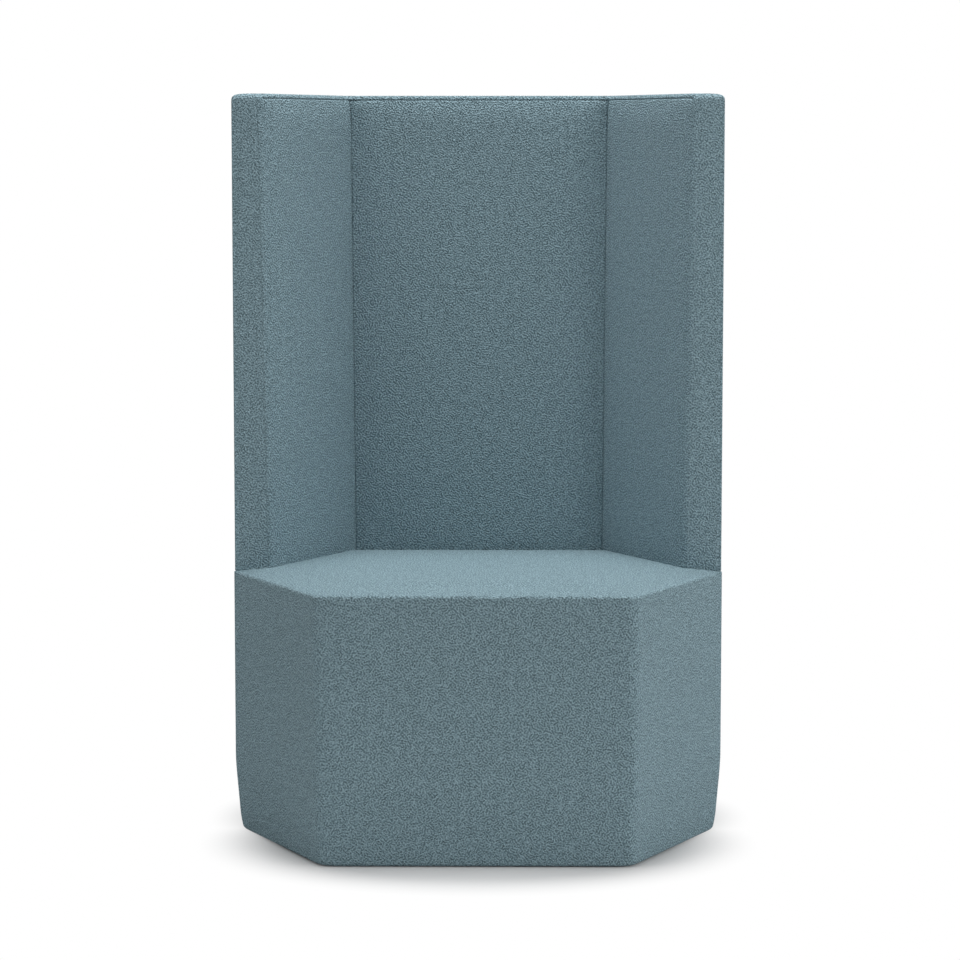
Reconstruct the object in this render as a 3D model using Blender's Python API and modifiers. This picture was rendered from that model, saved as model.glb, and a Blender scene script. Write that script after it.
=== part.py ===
"""A high-backed seat module: a six-sided upholstered plinth with a three-panel back on its rear sides."""

import math

import bmesh
import bpy
from mathutils import Matrix, Vector

# Plan of the plinth: a stretched hexagon whose corners are all 120 degrees. The front faces -Y.
HALF_WIDTH = 0.4275
HALF_FRONT = 0.2645
SIDE_ANGLE = math.radians(60.0)
HALF_DEPTH = (HALF_WIDTH - HALF_FRONT) * math.tan(SIDE_ANGLE)
SLANT = HALF_WIDTH * math.sin(SIDE_ANGLE)

# Heights above the floor
CLOTH_BOTTOM_Z = 0.002
WALL_BOTTOM_Z = 0.0075
BOARD_Z = 0.0164
DECK_Z = 0.369
SEAT_EDGE_Z = 0.448
BACK_FOOT_Z = 0.4573
TOP_Z = 1.286

# Sheet and padding thicknesses, the gap between pieces that touch, and how far a cutter runs on
GAP = 0.0003
RUN_ON = 0.050
CLOTH = 0.002
SIDE_FOAM = 0.012
LEAST_FOAM = 0.003
PLY = 0.015
CORE_PLY = 0.018
STEEL = 0.003
CORE_INSET = CLOTH + GAP + SIDE_FOAM + GAP

# The back is thicker at the seat than at the top, and its outer faces are upright
BACK_THICK_FOOT = 0.057
BACK_THICK_TOP = 0.045
EDGE_RADIUS = 0.008
BAND_WIDTH = 0.0085
EDGE_FOAM = 0.012
OUTER_CORNER_RADIUS = 0.012
WING_TIP_RADIUS = 0.004
WING_INNER_RADIUS = 0.008
INNER_CORNER_RADIUS = 0.0005
ARC_STEPS = 4

# The plinth draws in towards the floor, and the seat is crowned
PLINTH_CORNER_RADIUS = 0.014
LEAST_CORNER_RADIUS = 0.001
SEAT_EDGE_RADIUS = 0.009
FOOT_RADIUS = 0.008
FOOT_INSET = 0.0116
SEAT_EDGE_SWEEP = math.radians(75.0)
SEAT_CROWN = [(0.015, 0.4584), (0.030, 0.4606), (0.057, 0.4625), (0.100, 0.4639), (0.200, 0.4650)]
DRAWN_IN = [(0.0078, 0.051), (0.0036, 0.086), (0.0010, 0.112), (0.0, 0.135)]

# Screw-adjusted glides, one near each corner
GLIDE_INSET = 0.078
GLIDE_STEPS = 24
PAD_RADIUS = 0.021
PAD_TOP_RADIUS = 0.014
PAD_HEIGHT = 0.009
PAD_RIM = 0.004
PAD_EASE = 0.0012
PAD_WALL = 0.0027
NECK_GAP = 0.0006
STEM_RADIUS = 0.0038
STEM_TOP_Z = 0.052
STEM_EASE = 0.001
HEAD_RADIUS = 0.0065
HEAD_TOP = 0.006
HEX_ACROSS_FLATS = 0.017
HEX_HEIGHT = 0.005
TEE_FLANGE_RADIUS = 0.0125
TEE_FLANGE = 0.0015
TEE_BORE_RADIUS = 0.0042
TEE_BARREL_RADIUS = 0.0053
TEE_BARREL = 0.012

# Inside the plinth
RIB_X = 0.140
RIB_HOLE = (0.300, 0.180)
BLOCK_LEG = 0.060
BLOCK_HEIGHT = 0.060
VENT_RADIUS = 0.016
VENT_PITCH = (0.150, 0.130)
DUST_SHEET = 0.0008

# Steel angles of the back
ANGLE_LEG = 0.050
ANGLE_FOOT_Z = 0.560
ANGLE_HEAD_Z = 1.160
BRACKET_LEG = 0.050
BRACKET_WIDTH = 0.040
BRACKET_REAR_X = 0.150
BRACKET_WING = 0.150

# Colour, roughness and metallic of each finish
FINISHES = {
    "cloth": ((0.155, 0.220, 0.248), 0.92, 0.0),
    "foam": ((0.720, 0.660, 0.480), 0.95, 0.0),
    "plywood": ((0.560, 0.400, 0.230), 0.65, 0.0),
    "hardwood": ((0.450, 0.300, 0.170), 0.60, 0.0),
    "zinc_steel": ((0.560, 0.560, 0.540), 0.35, 1.0),
    "nylon": ((0.030, 0.030, 0.032), 0.50, 0.0),
    "dust_cloth": ((0.015, 0.015, 0.016), 0.95, 0.0),
}

# Each side of the hexagon as its outward normal and distance, anticlockwise from the front
SIDE_NAMES = ["front", "front_right", "rear_right", "rear", "rear_left", "front_left"]
SIDES = []
for turn in range(6):
    heading = math.radians(-90.0 + 60.0 * turn)
    away = HALF_DEPTH if turn in (0, 3) else SLANT
    SIDES.append((Vector((math.cos(heading), math.sin(heading))), away))
FRONT, FRONT_RIGHT, REAR_RIGHT, REAR, REAR_LEFT, FRONT_LEFT = SIDES

for leftover in list(bpy.data.objects):
    bpy.data.objects.remove(leftover)
PARTS = bpy.data.collections.new("seat_module")
CUTTERS = bpy.data.collections.new("cutters")
bpy.context.scene.collection.children.link(PARTS)
bpy.context.scene.collection.children.link(CUTTERS)


def inset_line(side, inset):
    return side[0], side[1] - inset


def plane_at_y(y):
    """The line that ends a wing, facing the front."""
    return Vector((0.0, -1.0)), -y


def crossing(first, second):
    """Where two lines, each a normal and a distance, meet in plan."""
    (a, p), (b, q) = first, second
    det = a.x * b.y - a.y * b.x
    return Vector(((p * b.y - q * a.y) / det, (a.x * q - b.x * p) / det))


def hexagon(inset):
    lines = [inset_line(side, inset) for side in SIDES]
    return [crossing(lines[i], lines[(i + 1) % 6]) for i in range(6)]


def rounded(points, radii):
    """An outline with each corner turned into an arc of its own radius."""
    outline = []
    for i, radius in enumerate(radii):
        corner = points[i]
        before = (points[i - 1] - corner).normalized()
        after = (points[(i + 1) % len(points)] - corner).normalized()
        half = before.angle(after) / 2
        centre = corner + (before + after).normalized() * radius / math.sin(half)
        start = corner + before * radius / math.tan(half) - centre
        end = corner + after * radius / math.tan(half) - centre
        swing = math.atan2(start.x * end.y - start.y * end.x, start.dot(end))
        for step in range(ARC_STEPS + 1):
            outline.append(centre + Matrix.Rotation(swing * step / ARC_STEPS, 2) @ start)
    return outline


def make(name, mesh, finish=None):
    """Adds the mesh as a part with its own material, or as a cutter if it has no finish."""
    data = bpy.data.meshes.new(name)
    bmesh.ops.recalc_face_normals(mesh, faces=mesh.faces)
    mesh.to_mesh(data)
    mesh.free()
    obj = bpy.data.objects.new(name, data)
    if finish is None:
        CUTTERS.objects.link(obj)
        obj.hide_render = True
        obj.display_type = "WIRE"
        return obj
    PARTS.objects.link(obj)
    colour, roughness, metallic = FINISHES[finish]
    material = bpy.data.materials.new(name)
    material.use_nodes = True
    shader = material.node_tree.nodes["Principled BSDF"]
    shader.inputs["Base Color"].default_value = (*colour, 1.0)
    shader.inputs["Roughness"].default_value = roughness
    shader.inputs["Metallic"].default_value = metallic
    data.materials.append(material)
    return obj


def prism(plan, z0, z1, top_plan=None):
    """An upright solid on an outline, leaning where the outline at its top differs."""
    mesh = bmesh.new()
    low = [mesh.verts.new((p.x, p.y, z0)) for p in plan]
    base = mesh.faces.new(low)
    lid = bmesh.ops.extrude_face_region(mesh, geom=[base])["geom"]
    high = [v for v in lid if isinstance(v, bmesh.types.BMVert)]
    targets = {tuple(v.co): q for v, q in zip(low, top_plan or plan)}
    for vert in high:
        target = targets[tuple(vert.co)]
        vert.co = (target.x, target.y, z1)
    return mesh


def loft(rings, closed=False):
    """Skins a row of rings, each a list of 3D points; a closed row is a tube, an open one gets end caps."""
    mesh = bmesh.new()
    rows = [[mesh.verts.new(p) for p in ring] for ring in rings]
    pairs = list(zip(rows, rows[1:]))
    if closed:
        pairs.append((rows[-1], rows[0]))
    else:
        mesh.faces.new(rows[0])
        mesh.faces.new(rows[-1])
    for lower, upper in pairs:
        for i in range(len(lower)):
            j = (i + 1) % len(lower)
            mesh.faces.new((lower[i], lower[j], upper[j], upper[i]))
    return mesh


def cut(obj, cutter, operation="DIFFERENCE"):
    modifier = obj.modifiers.new(cutter.name, "BOOLEAN")
    modifier.operation = operation
    modifier.solver = "EXACT"
    modifier.object = cutter


def cylinders(name, centres, radius, z0, z1):
    """One cutter with an upright cylinder at each centre."""
    mesh = bmesh.new()
    for centre in centres:
        at = Matrix.Translation((centre.x, centre.y, (z0 + z1) / 2))
        bmesh.ops.create_cone(
            mesh,
            cap_ends=True,
            segments=GLIDE_STEPS,
            radius1=radius,
            radius2=radius,
            depth=z1 - z0,
            matrix=at,
        )
    return make(name, mesh)


# The plinth's section, as points of inset from the hexagon and height


def plinth_ring(inset, z):
    radius = max(PLINTH_CORNER_RADIUS - inset, LEAST_CORNER_RADIUS)
    return [(p.x, p.y, z) for p in rounded(hexagon(inset), [radius] * 6)]


def arc_about(centre, radius, start, sweep):
    """Points of an arc about a point of the section, clockwise towards the seat's middle."""
    arc = []
    for step in range(ARC_STEPS + 1):
        angle = start + sweep * step / ARC_STEPS
        arc.append((centre[0] - radius * math.cos(angle), centre[1] + radius * math.sin(angle)))
    return arc


def plinth_skin(depth):
    """The section at a depth below the cloth's face, from the hem under the wall to the seat's middle."""
    foot_centre = (FOOT_INSET + FOOT_RADIUS, CLOTH_BOTTOM_Z + FOOT_RADIUS)
    edge_centre = (SEAT_EDGE_RADIUS, SEAT_EDGE_Z)
    section = [(CORE_INSET + PLY, CLOTH_BOTTOM_Z + depth)]
    section += arc_about(foot_centre, FOOT_RADIUS - depth, -math.pi / 2, math.pi / 2)
    section += [(inset + depth, z) for inset, z in DRAWN_IN]
    section += arc_about(edge_centre, SEAT_EDGE_RADIUS - depth, 0.0, SEAT_EDGE_SWEEP)
    section += [(inset, z - depth) for inset, z in SEAT_CROWN]
    return section


# The plan of the back, as lines at depths behind its outer faces


def back_thickness(z):
    share = (z - BACK_FOOT_Z) / (TOP_Z - BACK_FOOT_Z)
    return BACK_THICK_FOOT + share * (BACK_THICK_TOP - BACK_THICK_FOOT)


def back_ring(inset, z):
    """The whole outline of the back at one height, drawn in by an inset on every face."""
    near, far = inset, back_thickness(z) - inset
    end = plane_at_y(inset)
    outer = [inset_line(side, near) for side in (REAR_RIGHT, REAR, REAR_LEFT)]
    inner = [inset_line(side, far) for side in (REAR_LEFT, REAR, REAR_RIGHT)]
    lines = [end] + outer + [end] + inner + [end]
    points = [crossing(lines[i], lines[i + 1]) for i in range(8)]
    convex = [WING_TIP_RADIUS, OUTER_CORNER_RADIUS, OUTER_CORNER_RADIUS, WING_TIP_RADIUS]
    radii = [max(r - inset, LEAST_CORNER_RADIUS) for r in convex]
    tip = max(WING_INNER_RADIUS - inset, LEAST_CORNER_RADIUS)
    hollow = INNER_CORNER_RADIUS
    return [(p.x, p.y, z) for p in rounded(points, radii + [tip, hollow, hollow, tip])]


def back_block(inset, z0):
    """The back's solid drawn in by an inset, with its upper edge rounded."""
    radius = EDGE_RADIUS - inset
    shoulder = TOP_Z - EDGE_RADIUS
    rings = [back_ring(inset, z0), back_ring(inset, shoulder)]
    for step in range(1, ARC_STEPS + 1):
        angle = math.pi / 2 * step / ARC_STEPS
        rings.append(back_ring(inset + radius * (1 - math.cos(angle)), shoulder + radius * math.sin(angle)))
    return loft(rings)


def side_plan(turn, near, far, ends):
    """The plan of a board on one side, between two depths, with an end line or a mitre at each end."""
    side = SIDES[turn]
    along = Vector((-side[0].y, side[0].x))
    plan = []
    for depth, order in ((near, (0, 1)), (far, (1, 0))):
        for end in order:
            if ends[end] is None:
                neighbour = inset_line(SIDES[(turn + (1 if end else -1)) % 6], depth)
                point = crossing(inset_line(side, depth), neighbour) + along * (-GAP if end else GAP)
            else:
                point = crossing(inset_line(side, depth), ends[end])
            plan.append(point)
    return plan


BACK_SIDES = {"right": (2, True, False), "rear": (3, False, False), "left": (4, False, True)}


def back_slab(name, near, far, z0, z1, end_y, finish):
    """One upright layer on each of the three sides of the back. Depths may depend on the height."""
    made = {}
    for label, (turn, starts_at_tip, ends_at_tip) in BACK_SIDES.items():
        ends = (plane_at_y(end_y) if starts_at_tip else None, plane_at_y(end_y) if ends_at_tip else None)
        low = side_plan(turn, near(z0), far(z0), ends)
        high = side_plan(turn, near(z1), far(z1), ends)
        made[label] = make(f"{name}_{label}", prism(low, z0, z1, high), finish)
    return made


def fixed(depth):
    return lambda z: depth


def from_inside(depth):
    return lambda z: back_thickness(z) - depth


# Plywood box of the plinth
WALL_TOP_Z = DECK_Z - GAP
BOARD_TOP_Z = BOARD_Z + PLY
INSIDE = CORE_INSET + PLY + GAP
GLIDES = hexagon(GLIDE_INSET)

for turn, side_name in enumerate(SIDE_NAMES):
    plan = side_plan(turn, CORE_INSET, CORE_INSET + PLY, (None, None))
    make(f"wall_{side_name}", prism(plan, WALL_BOTTOM_Z, WALL_TOP_Z), "plywood")

bottom_board = make("bottom_board", prism(hexagon(INSIDE), BOARD_Z, BOARD_TOP_Z), "plywood")
barrel_holes = cylinders("barrel_holes", GLIDES, TEE_BARREL_RADIUS + 2 * GAP, 0.0, DECK_Z)
cut(bottom_board, barrel_holes)

seat_deck = make("seat_deck", prism(hexagon(CORE_INSET), DECK_Z, DECK_Z + PLY), "plywood")
vents = [Vector((VENT_PITCH[0] * i, VENT_PITCH[1] * j)) for i in (-1, 0, 1) for j in (-1, 0, 1)]
vent_holes = cylinders("vent_holes", vents, VENT_RADIUS, DECK_Z - PLY, DECK_Z + 2 * PLY)
cut(seat_deck, vent_holes)

RIB_HALF = HALF_DEPTH - INSIDE
RIB_FOOT_Z = BOARD_TOP_Z + GAP
for rib_name, rib_x in (("rib_left", -RIB_X), ("rib_right", RIB_X)):
    box = [Vector((rib_x + sx * PLY / 2, sy * RIB_HALF)) for sx, sy in ((-1, -1), (1, -1), (1, 1), (-1, 1))]
    rib = make(rib_name, prism(box, RIB_FOOT_Z, WALL_TOP_Z), "plywood")
    window = bmesh.new()
    middle = Matrix.Translation((rib_x, 0.0, (RIB_FOOT_Z + WALL_TOP_Z) / 2))
    bmesh.ops.create_cube(window, size=1.0, matrix=middle @ Matrix.Diagonal((3 * PLY, *RIB_HOLE, 1.0)))
    long_edges = [e for e in window.edges if abs(e.verts[0].co.x - e.verts[1].co.x) > PLY]
    bmesh.ops.bevel(window, geom=long_edges, offset=RIB_HOLE[1] / 4, segments=ARC_STEPS, affect="EDGES")
    cut(rib, make(f"{rib_name}_window", window))

for i, corner in enumerate(hexagon(INSIDE)):
    legs = [(hexagon(INSIDE)[k] - corner).normalized() * BLOCK_LEG for k in (i - 1, (i + 1) % 6)]
    plan = [corner, corner + legs[1], corner + legs[0]]
    make(f"corner_block_{i + 1}", prism(plan, RIB_FOOT_Z, RIB_FOOT_Z + BLOCK_HEIGHT), "hardwood")

DUST_TOP_Z = BOARD_Z - GAP
dust_sheet = prism(hexagon(INSIDE + GAP), DUST_TOP_Z - DUST_SHEET, DUST_TOP_Z)
dust_cover = make("dust_cover", dust_sheet, "dust_cloth")
flange_holes = cylinders("flange_holes", GLIDES, TEE_FLANGE_RADIUS + 3 * GAP, 0.0, BOARD_Z)
cut(dust_cover, flange_holes)


# Screw-adjusted glides


def turned(name, profile, finish, centre):
    """A turned piece from a closed profile of radius and height, running from top to bottom."""
    mesh = bmesh.new()
    verts = [mesh.verts.new((r, 0.0, z)) for r, z in profile]
    for i in range(len(verts)):
        ends = (verts[i - 1], verts[i])
        if ends[0].co.x > 0.0 or ends[1].co.x > 0.0:
            mesh.edges.new(ends)
    obj = make(name, mesh, finish)
    obj.location = (centre.x, centre.y, 0.0)
    screw = obj.modifiers.new("turn", "SCREW")
    screw.steps = GLIDE_STEPS
    screw.render_steps = GLIDE_STEPS
    screw.use_merge_vertices = True
    screw.merge_threshold = 0.00001
    return obj


HEX_Z = PAD_HEIGHT + GAP
TEE_Z = HEX_Z + HEX_HEIGHT + GAP
PAD_PROFILE = [
    (STEM_RADIUS + NECK_GAP, PAD_HEIGHT),
    (PAD_TOP_RADIUS, PAD_HEIGHT),
    (PAD_RADIUS - PAD_EASE, PAD_RIM + PAD_EASE),
    (PAD_RADIUS, PAD_RIM),
    (PAD_RADIUS, PAD_EASE),
    (PAD_RADIUS - PAD_EASE, 0.0),
    (0.0, 0.0),
    (0.0, PAD_WALL),
    (HEAD_RADIUS + NECK_GAP, PAD_WALL),
    (HEAD_RADIUS + NECK_GAP, HEAD_TOP + GAP),
    (STEM_RADIUS + NECK_GAP, HEAD_TOP + GAP),
]
STEM_PROFILE = [
    (0.0, STEM_TOP_Z),
    (STEM_RADIUS - STEM_EASE, STEM_TOP_Z),
    (STEM_RADIUS, STEM_TOP_Z - STEM_EASE),
    (STEM_RADIUS, HEAD_TOP),
    (HEAD_RADIUS, HEAD_TOP),
    (HEAD_RADIUS, PAD_WALL + GAP),
    (0.0, PAD_WALL + GAP),
]
TEE_TOP = BOARD_Z + TEE_BARREL
TEE_PROFILE = [
    (TEE_BORE_RADIUS, TEE_TOP),
    (TEE_BARREL_RADIUS, TEE_TOP),
    (TEE_BARREL_RADIUS, TEE_Z + TEE_FLANGE),
    (TEE_FLANGE_RADIUS, TEE_Z + TEE_FLANGE),
    (TEE_FLANGE_RADIUS, TEE_Z),
    (TEE_BORE_RADIUS, TEE_Z),
]
for i, centre in enumerate(GLIDES):
    turned(f"tee_nut_{i + 1}", TEE_PROFILE, "zinc_steel", centre)
    turned(f"glide_pad_{i + 1}", PAD_PROFILE, "nylon", centre)
    stem = turned(f"glide_stem_{i + 1}", STEM_PROFILE, "zinc_steel", centre)
    collar = bmesh.new()
    corner_radius = HEX_ACROSS_FLATS / 2 / math.cos(math.pi / 6)
    at = Matrix.Translation((0.0, 0.0, HEX_Z + HEX_HEIGHT / 2))
    bmesh.ops.create_cone(
        collar,
        cap_ends=True,
        segments=6,
        radius1=corner_radius,
        radius2=corner_radius,
        depth=HEX_HEIGHT,
        matrix=at,
    )
    hexagon_collar = make(f"stem_collar_{i + 1}", collar)
    hexagon_collar.location = stem.location
    cut(stem, hexagon_collar, "UNION")

# Padding and cloth of the plinth
SEAT_FOAM_Z = DECK_Z + PLY + GAP
skin = plinth_skin(CLOTH + GAP)
seat_section = [(skin[0][0], SEAT_FOAM_Z), (CLOTH + GAP, SEAT_FOAM_Z)]
seat_section += [p for p in skin if p[1] > SEAT_FOAM_Z]
seat_foam = make("seat_foam", loft([plinth_ring(*p) for p in seat_section]), "foam")

outside = [p for p in skin if p[0] < CORE_INSET - LEAST_FOAM and WALL_BOTTOM_Z < p[1] < SEAT_FOAM_Z - PLY]
side_top = SEAT_FOAM_Z - GAP
side_section = outside + [(CLOTH + GAP, side_top), (CORE_INSET - GAP, side_top)]
side_section.append((CORE_INSET - GAP, outside[0][1]))
make("side_foam", loft([plinth_ring(*p) for p in side_section], closed=True), "foam")

cover_section = plinth_skin(0.0)[::-1] + plinth_skin(CLOTH)
seat_cover = make("seat_cover", loft([plinth_ring(*p) for p in cover_section]), "cloth")

# Room for the back: its foot presses the seat flat, and its boards pass down to the deck
end_line = plane_at_y(-GAP)
outer_lines = [inset_line(side, -RUN_ON) for side in (REAR_RIGHT, REAR, REAR_LEFT)]
inner_lines = [inset_line(side, BACK_THICK_FOOT + GAP) for side in (REAR_LEFT, REAR, REAR_RIGHT)]
foot_lines = [end_line] + outer_lines + [end_line] + inner_lines + [end_line]
foot_plan = [crossing(foot_lines[i], foot_lines[i + 1]) for i in range(8)]
foot_room = make("foot_room", prism(foot_plan, BACK_FOOT_Z - GAP, BACK_FOOT_Z + RUN_ON))

CORE_END_Y = CLOTH + GAP + EDGE_FOAM + GAP
slot_end = plane_at_y(CORE_END_Y - GAP)
slot_outer = [inset_line(side, CORE_INSET - GAP) for side in (REAR_RIGHT, REAR, REAR_LEFT)]
slot_inner = [inset_line(side, CORE_INSET + CORE_PLY + GAP) for side in (REAR_LEFT, REAR, REAR_RIGHT)]
slot_lines = [slot_end] + slot_outer + [slot_end] + slot_inner + [slot_end]
slot_plan = [crossing(slot_lines[i], slot_lines[i + 1]) for i in range(8)]
core_slot = make("core_slot", prism(slot_plan, DECK_Z, BACK_FOOT_Z + RUN_ON / 2))
for padded in (seat_foam, seat_cover):
    cut(padded, foot_room)
    cut(padded, core_slot)

# Plywood, padding and cloth of the back
LAYER_TOP_Z = TOP_Z - CLOTH - GAP - EDGE_FOAM - GAP
CORE_BACK = CORE_INSET + CORE_PLY
PAD_DEPTH = CORE_BACK + GAP
back_slab("back_core", fixed(CORE_INSET), fixed(CORE_BACK), SEAT_FOAM_Z, LAYER_TOP_Z, CORE_END_Y, "plywood")
inner_foam = back_slab(
    "inner_foam", fixed(PAD_DEPTH), from_inside(CLOTH + GAP), BACK_FOOT_Z, LAYER_TOP_Z, CORE_END_Y, "foam"
)
outer_foam = back_slab(
    "outer_foam", fixed(CLOTH + GAP), fixed(CORE_INSET - GAP), BACK_FOOT_Z, LAYER_TOP_Z, CORE_END_Y, "foam"
)
COVER_TOP_Z = TOP_Z - BAND_WIDTH - GAP
COVER_END_Y = BAND_WIDTH + GAP
back_slab("inner_cover", from_inside(CLOTH), from_inside(0.0), BACK_FOOT_Z, COVER_TOP_Z, COVER_END_Y, "cloth")

# The outer corners of the padding are eased, so that the cloth turns them in an arc
ease = make("corner_ease", back_block(CLOTH + GAP, BACK_FOOT_Z - RUN_ON))
for eased in outer_foam.values():
    cut(eased, ease, "INTERSECT")


def outer_strip(z0, z1):
    """The cloth round the outside of the back, from the band on one wing to the band on the other."""
    end = plane_at_y(COVER_END_Y)
    face = [inset_line(side, 0.0) for side in (REAR_RIGHT, REAR, REAR_LEFT)]
    under = [inset_line(side, CLOTH) for side in (REAR_LEFT, REAR, REAR_RIGHT)]
    lines = [end] + face + [end] + under + [end]
    points = [crossing(lines[i], lines[i + 1]) for i in range(8)]
    plan = []
    for i, point in enumerate(points):
        if i in (1, 2, 5, 6):
            radius = OUTER_CORNER_RADIUS - (CLOTH if i > 4 else 0.0)
            trio = [points[i - 1], point, points[i + 1]]
            arc = rounded(trio, [radius] * 3)
            plan += arc[ARC_STEPS + 1 : 2 * (ARC_STEPS + 1)]
        else:
            plan.append(point)
    return prism(plan, z0, z1)


make("outer_cover", outer_strip(BACK_FOOT_Z, COVER_TOP_Z), "cloth")


def behind_the_edge(name, end_y, z1):
    """A cutter that leaves only the strip along the top edge and the front ends of the wings."""
    reach = HALF_WIDTH + RUN_ON
    plan = [Vector((x, y)) for x, y in ((-reach, end_y), (reach, end_y), (reach, reach), (-reach, reach))]
    return make(name, prism(plan, BACK_FOOT_Z - RUN_ON, z1))


edge_foam = make("edge_foam", back_block(CLOTH + GAP, BACK_FOOT_Z), "foam")
cut(edge_foam, behind_the_edge("edge_foam_room", CORE_END_Y - GAP, LAYER_TOP_Z + GAP))

edge_band = make("edge_band", back_block(0.0, BACK_FOOT_Z), "cloth")
cut(edge_band, make("edge_band_inside", back_block(CLOTH, BACK_FOOT_Z - RUN_ON)))
cut(edge_band, behind_the_edge("edge_band_room", BAND_WIDTH, TOP_Z - BAND_WIDTH))


# Steel angles


def corner_angle_plan(sides, near, far, leg):
    """A bent plate in plan, in the hollow corner between two sides."""
    plan = []
    for depth, order in ((near, (0, 1)), (far, (1, 0))):
        corner = crossing(inset_line(sides[0], depth), inset_line(sides[1], depth))
        arms = []
        for side, other in (sides, sides[::-1]):
            along = Vector((-side[0].y, side[0].x))
            if along.dot(other[0]) > 0:
                along = -along
            arms.append(corner + along * leg)
        plan += [arms[order[0]], corner, arms[order[1]]]
    return plan


for label, sides in (("left", (REAR_LEFT, REAR)), ("right", (REAR, REAR_RIGHT))):
    plan = corner_angle_plan(sides, PAD_DEPTH, PAD_DEPTH + STEEL, ANGLE_LEG)
    make(f"corner_angle_{label}", prism(plan, ANGLE_FOOT_Z, ANGLE_HEAD_Z), "zinc_steel")
    plan = corner_angle_plan(sides, PAD_DEPTH - STEEL, PAD_DEPTH + STEEL + GAP, ANGLE_LEG + GAP)
    pocket = make(f"angle_pocket_{label}", prism(plan, ANGLE_FOOT_Z - GAP, ANGLE_HEAD_Z + GAP))
    for pad in (label, "rear"):
        cut(inner_foam[pad], pocket)


def foot_bracket(name, side, place, grow, finish=None):
    """A bent plate that ties one board of the back to the deck."""
    normal, away = side
    along = Vector((-normal.y, normal.x))
    inner, rise, width = PAD_DEPTH - grow, SEAT_FOAM_Z - grow, BRACKET_WIDTH / 2 + grow
    leg, steel = BRACKET_LEG + 2 * grow, STEEL + 2 * grow
    section = [(0, 0), (leg, 0), (leg, steel), (steel, steel), (steel, leg), (0, leg)]
    rings = []
    for shift in (-width, width):
        foot = along * (place + shift)
        rings.append([])
        for depth, height in section:
            point = normal * (away - inner - depth) + foot
            rings[-1].append((point.x, point.y, rise + height))
    return make(name, loft(rings), finish)


BRACKETS = {
    "left": (REAR_LEFT, BRACKET_WING),
    "rear_left": (REAR, BRACKET_REAR_X),
    "rear_right": (REAR, -BRACKET_REAR_X),
    "right": (REAR_RIGHT, -BRACKET_WING),
}
for label, (side, place) in BRACKETS.items():
    foot_bracket(f"foot_bracket_{label}", side, place, 0.0, "zinc_steel")
    cut(seat_foam, foot_bracket(f"bracket_pocket_{label}", side, place, GAP))
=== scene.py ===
"""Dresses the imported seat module: padded cloth, seams and stitches, glides, finishes, studio and camera."""

import math

import bmesh
import bpy
import numpy as np
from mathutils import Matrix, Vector
from mathutils.geometry import delaunay_2d_cdt


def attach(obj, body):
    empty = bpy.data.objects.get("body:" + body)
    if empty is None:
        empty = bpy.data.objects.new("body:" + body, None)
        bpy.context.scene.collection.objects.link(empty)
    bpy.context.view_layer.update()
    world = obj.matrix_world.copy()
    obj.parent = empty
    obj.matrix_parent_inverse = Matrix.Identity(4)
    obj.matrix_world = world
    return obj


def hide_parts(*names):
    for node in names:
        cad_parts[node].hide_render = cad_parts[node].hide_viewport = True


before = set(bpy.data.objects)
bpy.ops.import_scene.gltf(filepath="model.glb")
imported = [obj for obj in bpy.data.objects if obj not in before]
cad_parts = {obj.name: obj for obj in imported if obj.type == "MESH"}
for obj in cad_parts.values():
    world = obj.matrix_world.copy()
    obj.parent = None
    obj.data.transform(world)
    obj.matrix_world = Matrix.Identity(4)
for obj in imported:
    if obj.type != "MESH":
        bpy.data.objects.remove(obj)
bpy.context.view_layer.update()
BODY = "seat_module"

# Plan in metres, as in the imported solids: a stretched hexagon whose corners are all 120 degrees, front at -Y
HALF_WIDTH = 0.4275
HALF_FRONT = 0.2645
HALF_DEPTH = (HALF_WIDTH - HALF_FRONT) * math.tan(math.radians(60.0))
SLANT = HALF_WIDTH * math.sin(math.radians(60.0))
HEADINGS = np.radians(-90.0 + 60.0 * np.arange(6))
NORMALS = np.stack([np.cos(HEADINGS), np.sin(HEADINGS)], axis=1)
AWAY = np.array([HALF_DEPTH, SLANT, SLANT, HALF_DEPTH, SLANT, SLANT])
FRONT, FRONT_RIGHT, REAR_RIGHT, REAR, REAR_LEFT, FRONT_LEFT = range(6)
# from a corner to where its arc starts, for each metre of the arc's radius
ARC_START = math.tan(math.radians(30.0))

# Heights and thicknesses of the back and the seat, the ease between pieces, half the joint under the back
FOOT_Z = 0.4573
TOP_Z = 1.286
THICK_FOOT = 0.057
THICK_TOP = 0.045
SEAT_EDGE_Z = 0.4580
DECK_TOP_Z = 0.3843
WALL_FACE = 0.0143
HEM_INSET = 0.0296
HEM_Z = 0.0006
HEM_TOP_Z = 0.0070
EASE = 0.0004
HALF_JOINT = 0.0002

# Seams: how far the roll along the edge reaches down each face, and how each piece turns into its seam.
# A face turns just short of square into a seam, and a pad is never drawn in thinner than its least
ROLL = 0.0078
ROLL_CORNER = 0.011
SEAM_TURN = 0.0025
SIDE_SEAM_TURN = 0.0020
WING_CREASE_TURN = 0.0010
REAR_CREASE_TURN = 0.0038
FOOT_TURN = 0.0008
OUTER_CORNER = 0.012
INNER_PAD = 0.0105
OUTER_PAD = 0.0105
LEAST_PAD = 0.002
SHORT_OF_SQUARE = 0.998

# Each inner pad rolls off towards its seams, as reach and drop, and the wings' pads are fuller at the back
TOP_ROLL = (0.014, 0.0024)
WING_CREASE_ROLL = (0.012, 0.0004)
REAR_CREASE_ROLL = (0.045, 0.0044)
END_ROLL = (0.026, 0.0020)
WING_FULLNESS = ([0.0, 0.24], [0.0020, 0.0034])
GROOVE = 0.0100
CREASE_FADE = ([0.0, 0.025], [0.4, 1.0])

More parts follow.
